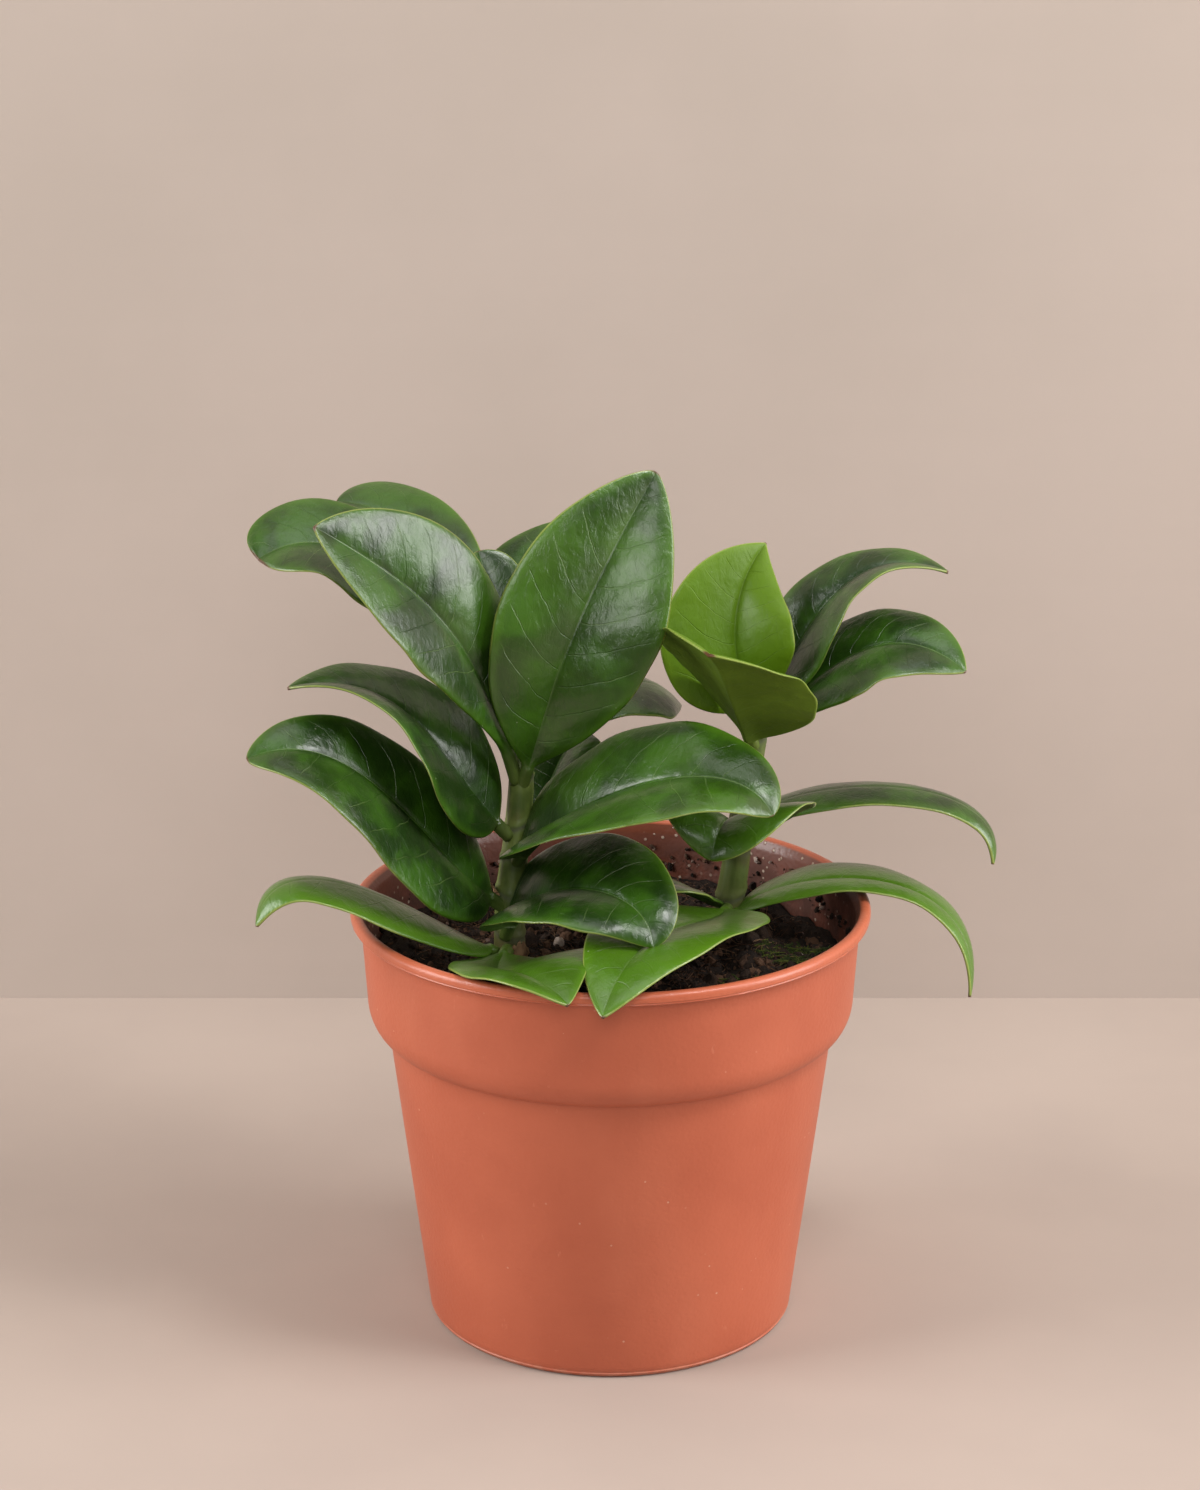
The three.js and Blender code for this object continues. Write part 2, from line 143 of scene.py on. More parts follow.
# ---- material trees ----
class Value:
    """A number in a node tree, so that maths on it reads as plain Python."""

    def __init__(self, tree, socket):
        self.tree = tree
        self.socket = socket

    def _maths(self, operation, *others, clamp=False):
        node = self.tree.add("ShaderNodeMath", dict(operation=operation, use_clamp=clamp), [self, *others])
        return Value(self.tree, node.outputs[0])

    def __add__(self, other):
        return self._maths("ADD", other)

    def __sub__(self, other):
        return self._maths("SUBTRACT", other)

    def __rsub__(self, other):
        return (self * -1) + other

    def __mul__(self, other):
        return self._maths("MULTIPLY", other)

    def __truediv__(self, other):
        return self._maths("DIVIDE", other)

    def __pow__(self, other):
        return self._maths("POWER", other)

    __radd__ = __add__
    __rmul__ = __mul__

    def size(self):
        return self._maths("ABSOLUTE")

    def fraction(self):
        return self._maths("FRACT")

    def wave(self):
        return self._maths("SINE")

    def larger(self, other):
        return self._maths("MAXIMUM", other)

    def ramp(self, low, high):
        """0 at low, 1 at high, smooth between; low may be the larger."""
        node = self.tree.add(
            "ShaderNodeMapRange", dict(interpolation_type="SMOOTHSTEP"),
            {"Value": self, "From Min": low, "From Max": high}
        )
        return Value(self.tree, node.outputs["Result"])


class Tree:
    """A node tree with one way of adding any node."""

    def __init__(self, nodes):
        self.tree = nodes

    def add(self, kind, settings=None, sockets=None):
        node = self.tree.nodes.new(kind)
        for name, setting in (settings or {}).items():
            setattr(node, name, setting)
        pairs = sockets.items() if isinstance(sockets, dict) else enumerate(sockets or [])
        for key, given in pairs:
            socket = node.inputs[key]
            if isinstance(given, Value):
                given = given.socket
            if isinstance(given, bpy.types.NodeSocket):
                self.tree.links.new(given, socket)
            else:
                socket.default_value = given
        return node


class Finish(Tree):
    """One material: a glossy or matte surface whose looks vary over the piece."""

    def __init__(self, name, **constants):
        self.material = bpy.data.materials.new(name)
        self.material.use_nodes = True
        super().__init__(self.material.node_tree)
        self.shader = self.tree.nodes["Principled BSDF"]
        for key, constant in constants.items():
            self.shader.inputs[key.replace("_", " ")].default_value = constant
        self.place = self.add("ShaderNodeTexCoord").outputs["Object"]

    def attribute(self, name):
        node = self.add("ShaderNodeAttribute", dict(attribute_name=name))
        return Value(self, node.outputs["Fac"])

    def heights(self):
        node = self.add("ShaderNodeSeparateXYZ", None, [self.place])
        return [Value(self, node.outputs[i]) for i in range(3)]

    def stretched(self, scale, place=None):
        node = self.add("ShaderNodeMapping", None, {"Vector": place or self.place, "Scale": scale})
        return node.outputs[0]

    def noise(self, scale, detail=3.0, rough=0.5, place=None, warp=0.0):
        node = self.add(
            "ShaderNodeTexNoise",
            None,
            {"Vector": place or self.place, "Scale": scale, "Detail": detail, "Roughness": rough, "Distortion": warp},
        )
        return Value(self, node.outputs[0])

    def cells(self, scale, feature="F1", place=None, spread=1.0):
        node = self.add(
            "ShaderNodeTexVoronoi", dict(feature=feature), {"Vector": place or self.place, "Scale": scale,
                "Randomness": spread}
        )
        return Value(self, node.outputs["Distance"])

    def blend(self, factor, under, over):
        node = self.add("ShaderNodeMix", dict(data_type="RGBA", clamp_factor=True))
        for key, given in ((0, factor), (6, under), (7, over)):
            socket = node.inputs[key]
            if isinstance(given, Value):
                given = given.socket
            if isinstance(given, bpy.types.NodeSocket):
                self.tree.links.new(given, socket)
            elif key == 0:
                socket.default_value = given
            else:
                socket.default_value = (*given, 1.0)
        return node.outputs[2]

    def feed(self, name, given):
        self.tree.links.new(given.socket if isinstance(given, Value) else given, self.shader.inputs[name])

    def relief(self, *layers):
        """Each layer is (height, depth in millimetres)."""
        normal = None
        for height, depth in layers:
            sockets = {"Height": height, "Strength": 1.0, "Distance": depth * MM}
            if normal is not None:
                sockets["Normal"] = normal
            normal = self.add("ShaderNodeBump", None, sockets).outputs[0]
        self.feed("Normal", normal)


def leaf_finish(name, gloss, deep, fresh, sunlit, under, vein):
    """Waxy leaf: mottled green, faint side veins, thin pale midrib and edge, olive underside."""
    leaf = Finish(name, Specular_IOR_Level=0.5 * gloss, Coat_Roughness=0.2)
    along = leaf.attribute("along")
    from_rib = leaf.attribute("from_rib")
    from_edge = leaf.attribute("from_edge")
    beneath = leaf.attribute("beneath")
    tone = leaf.attribute("tone")
    vein_turn = leaf.attribute("vein_turn")

    clouds = leaf.noise(62, detail=3, rough=0.6, warp=0.3)
    patches = leaf.noise(24, detail=2)
    fine = leaf.noise(1100, detail=2)
    wander = leaf.noise(120, detail=2)

    green = leaf.blend(clouds.ramp(0.38, 0.66), deep, fresh)
    bright = (tone * 0.8 + patches - 0.6).ramp(0.1, 0.8)
    green = leaf.blend(bright * 0.8, green, sunlit)
    margin_glow = from_edge.ramp(3.5, 0.2) * (0.2 + tone * 0.4)
    green = leaf.blend(margin_glow, green, sunlit)

    turn = (vein_turn + wander * 0.35).fraction()
    from_vein = (turn - 0.5).size()
    seen = leaf.noise(75, detail=1).ramp(0.42, 0.62)
    side_vein = from_vein.ramp(0.028, 0.006) * from_rib.ramp(0.3, 1.0) * from_edge.ramp(1.5, 5.0)
    twig_turn = (vein_turn * 3.7 + from_rib * 0.3 + wander * 1.6).fraction()
    twig = (twig_turn - 0.5).size().ramp(0.06, 0.01) * from_edge.ramp(1.2, 5.0) * seen
    green = leaf.blend(side_vein * seen * (0.34 + tone * 0.2) + twig * 0.07, green, vein)
    midrib = from_rib.ramp(0.42, 0.12) * along.ramp(1.02, 0.8)
    green = leaf.blend(midrib * 0.6, green, vein)
    edge_line = from_edge.ramp(0.55, 0.16)
    green = leaf.blend(edge_line * 0.75, green, (0.27, 0.33, 0.07))

    back = leaf.blend(clouds.ramp(0.3, 0.75), under, [c * 1.5 for c in under])
    back = leaf.blend(side_vein * 0.25 + midrib * 0.5, back, vein)
    colour = leaf.blend(beneath, green, back)

    foot = along.ramp(0.1, 0.0)
    colour = leaf.blend(foot * 0.6, colour, (0.13, 0.16, 0.035))
    tip = along.ramp(0.993, 0.9995)
    colour = leaf.blend(tip, colour, (0.09, 0.035, 0.012))
    specks = leaf.cells(230).ramp(0.06, 0.03) * leaf.noise(37).ramp(0.52, 0.62)
    colour = leaf.blend(specks * 0.5, colour, (0.4, 0.42, 0.3))
    leaf.feed("Base Color", colour)

    dull = 0.5 - gloss * 0.28 + clouds * 0.14 + fine * 0.05 + specks * 0.3 + beneath * 0.2 + foot * 0.1
    leaf.feed("Roughness", dull)
    leaf.feed("Coat Weight", (1 - beneath) * (0.36 * gloss) * leaf.noise(48).ramp(0.3, 0.6))
    creases = leaf.noise(520, detail=4, rough=0.62, place=leaf.stretched((1, 1, 0.5)), warp=0.6)
    leaf.relief(
        (leaf.noise(150, detail=2), 0.5),
        (creases, 0.24),
        (1 - side_vein * 0.8 - midrib * 0.6, 0.12),
        (fine, 0.02),
    )
    return leaf.material


def pot_finish():
    """Moulded terracotta-coloured plastic: leathery grain, scuffs, soil smears inside the wall, painted shade
    darkening the inner wall and a painted highlight paling the lip.
    """
    pot = Finish("terracotta_plastic", Specular_IOR_Level=0.55)
    x, y, z = pot.heights()
    radius = (x * x + y * y) ** 0.5
    inside = pot.attribute("inner_wall")
    clouds = pot.noise(28, detail=3)
    grain = pot.noise(1500, detail=2, rough=0.6)
    leather = pot.cells(900, feature="SMOOTH_F1")
    flow = pot.noise(60, detail=3, place=pot.stretched((1, 1, 0.25)))
    colour = pot.blend(clouds.ramp(0.3, 0.7), (0.44, 0.098, 0.044), (0.50, 0.12, 0.056))
    colour = pot.blend(flow.ramp(0.5, 0.8) * 0.3, colour, (0.55, 0.155, 0.08))
    # painted highlight: the lip ring is painted paler where light falls on the rim; its lower roughness further down
    # is the lip's own gloss
    lip = (z - (LIP_FOOT - 0.4) * MM).ramp(0, 0.6 * MM)
    colour = pot.blend(lip * 0.3, colour, (0.60, 0.165, 0.08))
    scuff = pot.noise(260, detail=4, rough=0.7, place=pot.stretched((1, 1, 0.5))).ramp(0.66, 0.74)
    colour = pot.blend(scuff * 0.25, colour, (0.66, 0.24, 0.14))
    specks = pot.cells(210).ramp(0.07, 0.045) * pot.noise(33).ramp(0.5, 0.6)
    colour = pot.blend(specks * 0.5, colour, (0.74, 0.45, 0.32))
    # darker in patches deeper down the inner wall towards the soil: partly soil smears, partly painted shade in the
    # recess of the pot
    grime_and_shade = inside * (z / MM).ramp(107.5, 96.0) * pot.noise(120, detail=4, rough=0.65).ramp(0.32, 0.62)
    colour = pot.blend(grime_and_shade * 0.9, colour, (0.03, 0.014, 0.008))
    # painted shade: the whole inner wall is painted dark brown, standing in for the shade inside the pot
    colour = pot.blend(inside * 0.78, colour, (0.075, 0.022, 0.011))
    splash = inside * pot.cells(420).ramp(0.22, 0.12) * pot.noise(70).ramp(0.36, 0.54)
    colour = pot.blend(splash * 0.9, colour, (0.5, 0.37, 0.28))
    foot_dust = (z / MM).ramp(2.5, 0.4) * (radius / MM).ramp(40, 44) * pot.noise(400).ramp(0.3, 0.7)
    colour = pot.blend(foot_dust * 0.3, colour, (0.62, 0.42, 0.3))
    pot.feed("Base Color", colour)
    pot.feed("Roughness", 0.40 + grain * 0.12 + clouds * 0.08 - lip * 0.14 + grime_and_shade * 0.3 + scuff * 0.1)
    pot.relief(
        (pot.noise(45, detail=2), 0.25),
        (leather * 0.9 + grain * 0.5, 0.06),
        (scuff + specks, -0.03),
        (grime_and_shade + splash, 0.15),
    )
    return pot.material


def soil_finish(name, dark, brown, glint, coarse):
    """Peaty potting mix: near black, with rusty fibres and paler dust by the piece's own tone."""
    soil = Finish(name, Specular_IOR_Level=0.3)
    tone = soil.attribute("tone")
    clumps = soil.noise(coarse, detail=5, rough=0.7)
    dust = soil.noise(coarse * 6, detail=3, rough=0.7)
    colour = soil.blend(clumps.ramp(0.35, 0.65), dark, brown)
    colour = soil.blend((tone - 0.55).ramp(0, 0.4), colour, glint)
    colour = soil.blend(dust.ramp(0.58, 0.72) * 0.35, colour, (0.17, 0.1, 0.06))
    soil.feed("Base Color", colour)
    soil.feed("Roughness", 0.82 + dust * 0.16 - clumps * 0.1)
    soil.relief((clumps, 0.9), (dust, 0.25))
    return soil.material


def stem_finish():
    """Green stem with brown papery scars and fine long lines."""
    stem = Finish("green_stem", Specular_IOR_Level=0.45)
    scar = stem.attribute("scar")
    lines = stem.noise(420, detail=3, place=stem.stretched((1, 1, 0.12)))
    clouds = stem.noise(150, detail=3)
    z = stem.heights()[2] / MM
    colour = stem.blend(clouds.ramp(0.3, 0.7), (0.055, 0.085, 0.012), (0.12, 0.16, 0.03))
    colour = stem.blend(lines.ramp(0.5, 0.75) * 0.4, colour, (0.2, 0.22, 0.07))
    colour = stem.blend(z.ramp(112, 97) * 0.55, colour, (0.12, 0.085, 0.035))
    colour = stem.blend(stem.noise(70).ramp(0.55, 0.75) * 0.45, colour, (0.2, 0.09, 0.045))
    colour = stem.blend(scar * (0.3 + clouds * 0.8), colour, (0.11, 0.115, 0.075))
    stem.feed("Base Color", colour)
    stem.feed("Roughness", 0.42 + lines * 0.2 + scar * 0.25)
    stem.relief((lines, 0.12), (clouds, 0.3), (stem.noise(1300, detail=2), 0.04))
    return stem.material


def husk_finish():
    """Dry brown sheath left at a node."""
    husk = Finish("dry_husk", Specular_IOR_Level=0.3)
    lines = husk.noise(700, detail=3, place=husk.stretched((1, 1, 0.15)))
    colour = husk.blend(lines.ramp(0.3, 0.7), (0.1, 0.05, 0.022), (0.3, 0.18, 0.09))
    husk.feed("Base Color", colour)
    husk.feed("Roughness", 0.7 + lines * 0.2)
    husk.relief((lines, 0.2))
    return husk.material


def backdrop_finish(name, colour, shade):
    """Matte pale paint with the faintest unevenness."""
    paint = Finish(name, Specular_IOR_Level=0.2)
    mottle = paint.noise(9, detail=4)
    drag = paint.noise(60, detail=3, place=paint.stretched((0.05, 1, 1.6)))
    mixed = paint.blend(mottle.ramp(0.3, 0.7), colour, shade)
    paint.feed("Base Color", mixed)
    paint.feed("Roughness", 0.75 + drag * 0.1)
    paint.relief((drag, 0.12))
    return paint.material


def one_sided(material):
    """Lets a backdrop be looked through from behind, so that it never hides the plant."""
    paint = Tree(material.node_tree)
    facing = paint.add("ShaderNodeNewGeometry").outputs["Backfacing"]
    clear = paint.add("ShaderNodeBsdfTransparent").outputs[0]
    solid = material.node_tree.nodes["Principled BSDF"].outputs[0]
    both = paint.add("ShaderNodeMixShader", None, [facing, solid, clear]).outputs[0]
    material.node_tree.links.new(both, material.node_tree.nodes["Material Output"].inputs["Surface"])
    return material


# ---- mesh makers ----
def make_piece(name, points, faces, material, values=None):
    """A mesh piece at the origin from points in millimetres, with smooth faces and named values."""
    mesh = bpy.data.meshes.new(name)
    mesh.from_pydata((np.asarray(points) * MM).tolist(), [], faces)
    for key, numbers in (values or {}).items():
        layer = mesh.attributes.new(key, "FLOAT", "POINT")
        layer.data.foreach_set("value", np.asarray(numbers, np.float32).ravel())
    mesh.polygons.foreach_set("use_smooth", [True] * len(mesh.polygons))
    mesh.materials.append(material)
    mesh.update()
    piece = bpy.data.objects.new(name, mesh)
    bpy.context.scene.collection.objects.link(piece)
    return piece


def settle(piece, slot, *nodes):
    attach(piece, "root")
    if nodes:
        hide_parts(*nodes)


def ring_faces(rings, sides):
    """Quads over a row of equal rings, and a fan's worth of cap at each end."""
    faces = []
    for i in range(rings - 1):
        for k in range(sides):
            a, b = i * sides + k, i * sides + (k + 1) % sides
            faces.append((a, b, b + sides, a + sides))
    faces.append(tuple(reversed(range(sides))))
    faces.append(tuple((rings - 1) * sides + k for k in range(sides)))
    return faces


def unit(v):
    return v / np.linalg.norm(v, axis=-1, keepdims=True)


# ---- leaves ----
LEAF_THICKNESS = 0.95
EDGE_THICKNESS = 0.5
STALK_RADIUS = 1.7
TIP_RADIUS = 0.35
STALK_SHARE = 0.08
STALK_STEPS = 6
BLADE_STEPS = 60
SIDE_VEINS = 8.0
ACROSS = np.array([0, 0.03, 0.075, 0.14, 0.22, 0.31, 0.41, 0.52, 0.63, 0.74, 0.84, 0.92, 0.97, 1.0])


def midrib(path, s):
    """Smooth line through the four points of a leaf's path, and its direction."""
    p0, q1, q2, p3 = np.asarray(path, float)
    c1 = (-5 * p0 + 18 * q1 - 9 * q2 + 2 * p3) / 6
    c2 = (2 * p0 - 9 * q1 + 18 * q2 - 5 * p3) / 6
    s = s[:, None]
    r = 1 - s
    at = r**3 * p0 + 3 * r * r * s * c1 + 3 * r * s * s * c2 + s**3 * p3
    along = 3 * r * r * (c1 - p0) + 6 * r * s * (c2 - c1) + 3 * s * s * (p3 - c2)
    return at, unit(along)


def leaf_mesh(leaf, seed):
    """Points, faces and values of one leaf: round stalk, then a thin blade with a rib beneath."""
    dice = random.Random(seed)
    steps = (np.arange(BLADE_STEPS + 1) + 0.35) / (BLADE_STEPS + 0.35)
    blade = 0.5 - 0.5 * np.cos(np.pi * steps)
    s = np.concatenate([np.linspace(0, STALK_SHARE * 0.9, STALK_STEPS), STALK_SHARE + (1 - STALK_SHARE) * blade])
    u = np.concatenate([np.zeros(STALK_STEPS), blade])
    at, along = midrib(leaf["path"], s)
    foot_face = np.asarray(leaf["face"], float)
    tip_face = np.asarray(leaf.get("tip_face", leaf["face"]), float)
    face = (1 - s)[:, None] * foot_face + s[:, None] * tip_face
    up = unit(face - (face * along).sum(1, keepdims=True) * along)
    side = np.cross(along, up)

    rise, fall = leaf.get("rise", 1.1), leaf.get("fall", 0.62)
    peak = rise / (rise + fall)
    tallest = peak**rise * (1 - peak) ** fall
    half = u**rise * (1 - u) ** fall / tallest * leaf["width"] / 2
    radius = leaf.get("stalk", STALK_RADIUS) * (1 - u) + TIP_RADIUS * u
    stalk = radius / (radius + half)

    v = np.concatenate([-ACROSS[:0:-1], ACROSS])
    a = np.abs(v)[None, :]
    sign = np.sign(v)[None, :]
    share = np.where(v < 0, leaf.get("left", 1.0), leaf.get("right", 1.0))[None, :]
    phases = [dice.uniform(0, 6.28) for _ in range(6)]
    reach = half[:, None] * share
    reach = reach * (
        1 + 0.012 * np.sin(9 * u + phases[0])[:, None] + 0.008 * np.sin(23 * u + phases[1])[:, None] * sign
    )

    fold = leaf.get("fold", 8)
    fold = np.radians(fold + (leaf.get("cup", fold) - fold) * (1 - u[:, None]) ** 2)
    bend = math.radians(leaf.get("bend", 22))
    start = fold + bend * 0.5
    lean = start - bend * a
    x = sign * reach * (np.sin(start) - np.sin(lean)) / bend
    z = reach * (np.cos(lean) - np.cos(start)) / bend
    calm = np.sin(np.pi * np.clip(u, 0, 1))[:, None]
    wave = leaf.get("wave", 0.7) * leaf["width"] / 40
    z = z + wave * a**2 * calm * np.sin(2 * np.pi * 1.6 * u[:, None] + phases[2] + sign * phases[3])
    z = z + 0.35 * wave * a**3 * calm * np.sin(2 * np.pi * 4.3 * u[:, None] + phases[4] + sign)
    turn = SIDE_VEINS * (u[:, None] * 1.05 - 0.2 * a**1.4 * (half / half.max())[:, None]) + 0.5 * (sign > 0)
    swell = np.abs(np.sin(np.pi * (turn + 0.5))) ** 0.7
    quilt = 0.22 * leaf.get("quilt", 0.7) * swell * np.clip(a * 3, 0, 1) * np.clip((1 - a) * 3, 0, 1) * calm
    groove = 0.3 * np.exp(-((a * reach / 0.6) ** 2)) * calm

    thin = (LEAF_THICKNESS + (EDGE_THICKNESS - LEAF_THICKNESS) * a**2) / 2
    arc = np.arccos(np.clip(v, -1, 1))[None, :]
    round_x = np.cos(arc) * radius[:, None] * stalk[:, None]
    round_z = np.sin(arc) * radius[:, None]
    k = stalk[:, None]
    body = thin * np.where(a >= 1, 0.0, 1.0)
    top = body * (1 - k) + round_z * k
    rib = (radius[:, None] - 0.4) * np.exp(-((a * reach / (radius[:, None] * 0.9 + 0.05)) ** 2)) * (1 - k)
    low = body * (1 - k) + round_z * k + np.clip(rib, 0, None) * np.where(a >= 1, 0.0, 1.0)

    def place(px, pz):
        return at[:, None, :] + side[:, None, :] * px[..., None] + up[:, None, :] * pz[..., None]

    upper = place(x + round_x, z + top + (quilt - groove) * (1 - k))
    lower = place(x + round_x, z - low + quilt * 0.8 * (1 - k))[:, 1:-1][:, ::-1]
    points = np.concatenate([upper, lower], 1)
    rings, sides = points.shape[:2]

    along_value = np.concatenate([np.linspace(0, 0.05, STALK_STEPS), 0.06 + 0.94 * blade])
    columns = np.concatenate([v, v[1:-1][::-1]])
    beneath = np.concatenate([np.zeros_like(v), np.ones(len(v) - 2)])
    reach_all = np.concatenate([reach, reach[:, 1:-1][:, ::-1]], 1)
    turn_all = np.concatenate([turn, turn[:, 1:-1][:, ::-1]], 1)
    grid = np.ones((rings, sides))
    values = {
        "along": along_value[:, None] * grid,
        "from_rib": np.abs(columns)[None, :] * reach_all + radius[:, None] * 0.2,
        "from_edge": (1 - np.abs(columns))[None, :] * reach_all + 3 * stalk[:, None] * (u < 0.4)[:, None],
        "beneath": beneath[None, :] * grid,
        "tone": leaf["tone"] * grid,
        "vein_turn": turn_all,
    }
    return points.reshape(-1, 3), ring_faces(rings, sides), values


# ---- stems ----
def stem_mesh(points, radii, nodes, seed):
    """A tapering stem with a swollen ring and a scar at each node."""
    dice = random.Random(seed)
    points, radii = np.asarray(points, float), np.asarray(radii, float)
    z = np.linspace(points[0, 2], points[-1, 2], 96)
    x = np.interp(z, points[:, 2], points[:, 0])
    y = np.interp(z, points[:, 2], points[:, 1])
    smooth = np.ones(9) / 9
    x = np.convolve(np.pad(x, 4, mode="edge"), smooth, mode="valid")
    y = np.convolve(np.pad(y, 4, mode="edge"), smooth, mode="valid")
    r = np.interp(z, points[:, 2], radii)
    sides = 40
    angle = np.linspace(0, 2 * np.pi, sides, endpoint=False)
    radius = r[:, None] * (1 + 0.03 * np.sin(3 * angle + 0.05 * z[:, None]) + 0.015 * np.sin(7 * angle))
    scar = np.zeros_like(radius)
    for height in nodes:
        tilt = dice.uniform(0, 6.28)
        level = height + 1.1 * np.sin(angle + tilt)[None, :]
        gap = z[:, None] - level
        radius = radius + 0.35 * np.exp(-((gap / 0.9) ** 2)) - 0.22 * np.exp(-(((gap + 1.0) / 0.35) ** 2))
        scar = np.maximum(scar, np.exp(-(((gap + 0.9) / 0.7) ** 2)))
    top = np.clip((z[-1] - z) / 2.0, 0, 1) ** 0.5
    radius = radius * (0.25 + 0.75 * top)[:, None]
    ring = np.stack(
        [x[:, None] + radius * np.cos(angle), y[:, None] + radius * np.sin(angle), z[:, None] + 0 * radius], -1
    )
    return ring.reshape(-1, 3), ring_faces(len(z), sides), {"scar": scar}


def husk_mesh(centre, radius, height, start, sweep, length, seed):
    """A thin dry sheath wrapped part of the way round the stem, with a ragged pointed top."""
    dice = random.Random(seed)
    rows, columns = 10, 16
    outer, inner = [], []
    for i in range(rows):
        t = i / (rows - 1)
        for k in range(columns):
            q = k / (columns - 1)
            edge = 1 - (2 * q - 1) ** 2
            angle = start + sweep * (q - 0.5) * (1 - 0.35 * t)
            lift = height + t * length * (0.35 + 0.65 * edge) * (1 + 0.12 * dice.uniform(-1, 1) * t)
            flare = radius + 0.35 + 0.8 * t * t + 0.12 * math.sin(9 * q + 4 * t)
            for shell, out in ((outer, 0.22), (inner, 0.0)):
                shell.append((centre[0] + (flare + out) * math.cos(angle),
                    centre[1] + (flare + out) * math.sin(angle), lift))
    count = rows * columns
    faces = []
    for i in range(rows - 1):
        for k in range(columns - 1):
            a = i * columns + k
            faces.append((a, a + 1, a + columns + 1, a + columns))
            faces.append((count + a, count + a + columns, count + a + columns + 1, count + a + 1))
    rim = [k for k in range(columns)]
    rim += [i * columns + columns - 1 for i in range(1, rows)]
    rim += [(rows - 1) * columns + k for k in range(columns - 2, -1, -1)]
    rim += [i * columns for i in range(rows - 2, 0, -1)]
    for a, b in zip(rim, rim[1:] + rim[:1]):
        faces.append((b, a, count + a, count + b))
    return outer + inner, faces


# ---- pot ----
def shoulder(inset, lift, steps=12):
    """The rounded shoulder where the body steps out to the band."""
    angles = np.linspace(0.06, 1, steps) * math.pi / 2
    reach, fall = BAND_FOOT_RADIUS - BODY_TOP_RADIUS, BAND_FOOT_HEIGHT - BODY_TOP_HEIGHT
    return [
        (BODY_TOP_RADIUS + reach * math.sin(t) - inset, BODY_TOP_HEIGHT + fall * (1 - math.cos(t)) + lift)
        for t in angles
    ]


def pot_profile():
    """Radius and height of the wall, from the middle of the underside round to the inner floor."""
    taper = (BODY_TOP_RADIUS - BODY_FOOT_RADIUS) / (BODY_TOP_HEIGHT - 1.6)
    outside = [(0, 0), (12, 0), (24, 0), (38, 0), (BODY_FOOT_RADIUS - 1.7, 0), (BODY_FOOT_RADIUS - 0.9, 0.15)]
    outside += [(BODY_FOOT_RADIUS - 0.35, 0.6), (BODY_FOOT_RADIUS - 0.02, 1.2), (BODY_FOOT_RADIUS - 0.16, 1.5)]
    outside += [(BODY_FOOT_RADIUS + taper * (h - 1.6), h) for h in (1.8, 3, 8, 20, 35, 50, 64, 72, 76)]
    outside += shoulder(0, 0)
    outside += [(BAND_FOOT_RADIUS + (BAND_TOP_RADIUS - BAND_FOOT_RADIUS) * t,
        BAND_FOOT_HEIGHT + (LIP_FOOT - BAND_FOOT_HEIGHT) * t)
                for t in (0.12, 0.35, 0.6, 0.85, 0.97)]
    r, top = LIP_RADIUS, POT_HEIGHT
    outside += [(BAND_TOP_RADIUS + 0.25, LIP_FOOT - 0.1), (BAND_TOP_RADIUS + 1.2, LIP_FOOT),
        (r - 0.6, LIP_FOOT + 0.05)]
    outside += [(r - 0.25, LIP_FOOT + 0.2), (r - 0.08, LIP_FOOT + 0.42), (r - 0.22, LIP_FOOT + 0.62)]
    outside += [(r - 0.02, LIP_FOOT + 0.9), (r, top - 1.4), (r - 0.1, top - 0.8), (r - 0.4, top - 0.35),
        (r - 0.9, top - 0.08)]
    outside += [(r - 1.5, top), (r - 2.1, top - 0.06), (r - 2.6, top - 0.35), (r - 2.85, top - 0.9)]
    inner_top = BAND_TOP_RADIUS - WALL
    inside = [(inner_top + 0.4, LIP_FOOT + 1.0), (inner_top + 0.05, LIP_FOOT - 0.3), (inner_top - 0.2, 100),
        (inner_top - 0.7, 92)]
    inside += shoulder(WALL, 0.8)[::-1]
    inside += [(BODY_FOOT_RADIUS + taper * (h - 1.6) - WALL, h) for h in (77, 60, 40, 20, 6, 3.4)]
    inside += [(BODY_FOOT_RADIUS - WALL - 1, FLOOR), (30, FLOOR), (12, FLOOR), (0, FLOOR)]
    return outside, inside


def nodes_group(name, sizes):
    """A Geometry Nodes tree with a geometry in, a geometry out and named number inputs."""
    group = bpy.data.node_groups.new(name, "GeometryNodeTree")
    group.interface.new_socket("Geometry", in_out="INPUT", socket_type="NodeSocketGeometry")
    for key, (kind, default) in sizes.items():
        socket = group.interface.new_socket(key, in_out="INPUT", socket_type=f"NodeSocket{kind}")
        if default is not None:
            socket.default_value = default
    group.interface.new_socket("Geometry", in_out="OUTPUT", socket_type="NodeSocketGeometry")
    tree = Tree(group)
    return group, tree, tree.add("NodeGroupInput"), tree.add("NodeGroupOutput")


def grown(piece, group, settings, name):
    """Runs the tree on the piece and gives back the result as a plain mesh piece."""
    modifier = piece.modifiers.new(group.name, "NODES")
    modifier.node_group = group
    for item in group.interface.items_tree:
        if item.item_type == "SOCKET" and item.in_out == "INPUT" and item.name in settings:
            modifier[item.identifier] = settings[item.name]
    bpy.context.view_layer.update()
    evaluated = piece.evaluated_get(bpy.context.evaluated_depsgraph_get())
    mesh = bpy.data.meshes.new_from_object(evaluated)
    piece.modifiers.remove(modifier)
    result = bpy.data.objects.new(name, mesh)
    bpy.context.scene.collection.objects.link(result)
    old = piece.data
    bpy.data.objects.remove(piece)
    bpy.data.meshes.remove(old)
    return result


